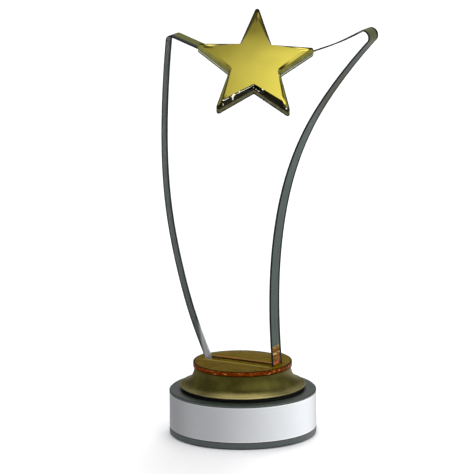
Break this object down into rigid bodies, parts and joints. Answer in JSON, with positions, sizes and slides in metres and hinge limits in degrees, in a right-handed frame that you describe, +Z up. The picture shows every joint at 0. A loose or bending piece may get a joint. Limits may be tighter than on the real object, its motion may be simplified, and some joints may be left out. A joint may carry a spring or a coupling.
{
  "type": "star trophy",
  "caption": "Free-standing award: a gold star before the V-shaped top of a clear glass blade, on an amber disc, a flared gold riser and a black drum with a blank silver band.",
  "frame": {"origin": "middle of the round underside, on the plane the trophy stands on", "axes": "+Z up; the glass blade lies in the XZ plane with its taller horn towards +X; the front, where the star is, faces -Y"},
  "size_m": [0.1452, 0.1057, 0.2698],
  "materials": {
    "felt": "short-pile green felt",
    "cover_steel": "zinc-plated sheet",
    "screw_steel": "bright steel fasteners",
    "cast_iron": "raw casting",
    "black_drum": "satin black, fine grain",
    "tape": "double-sided tape",
    "silver_band": "satin anodised sheet",
    "black_plastic": "moulded",
    "bronze_gold": "lacquered dark antique gold",
    "clear_bond": "cured clear adhesive",
    "amber": "translucent amber, polished edge",
    "clear_glass": "clear float glass, polished grey-green edges",
    "polished_gold": "polished gold plating",
    "satin_gold": "brushed gold plating",
    "gold_screw": "gold-plated screws",
    "bracket_gold": "polished gold plating",
    "clear_rubber": "clear silicone liner"
  },
  "bodies": {
    "root": {"felt_pad": "felt", "bottom_cover": "cover_steel", "bottom_cover_screws": "screw_steel", "ballast_weight": "cast_iron", "base_drum": "black_drum", "band_tape": "tape", "engraving_band": "silver_band", "tie_rod": "screw_steel", "tie_rod_washer": "screw_steel", "tie_rod_nut": "screw_steel", "locating_pins": "screw_steel", "riser_spacer": "black_plastic", "riser": "bronze_gold", "riser_core": "black_plastic", "blade_bed": "clear_bond", "amber_disc": "amber", "blade": "clear_glass", "star_shell": "polished_gold", "star_back_plate": "satin_gold", "star_back_screws": "gold_screw", "star_bracket": "bracket_gold", "bracket_screws": "gold_screw", "saddle_liner": "clear_rubber", "saddle_set_screws": "screw_steel"}
  },
  "joints": []
}
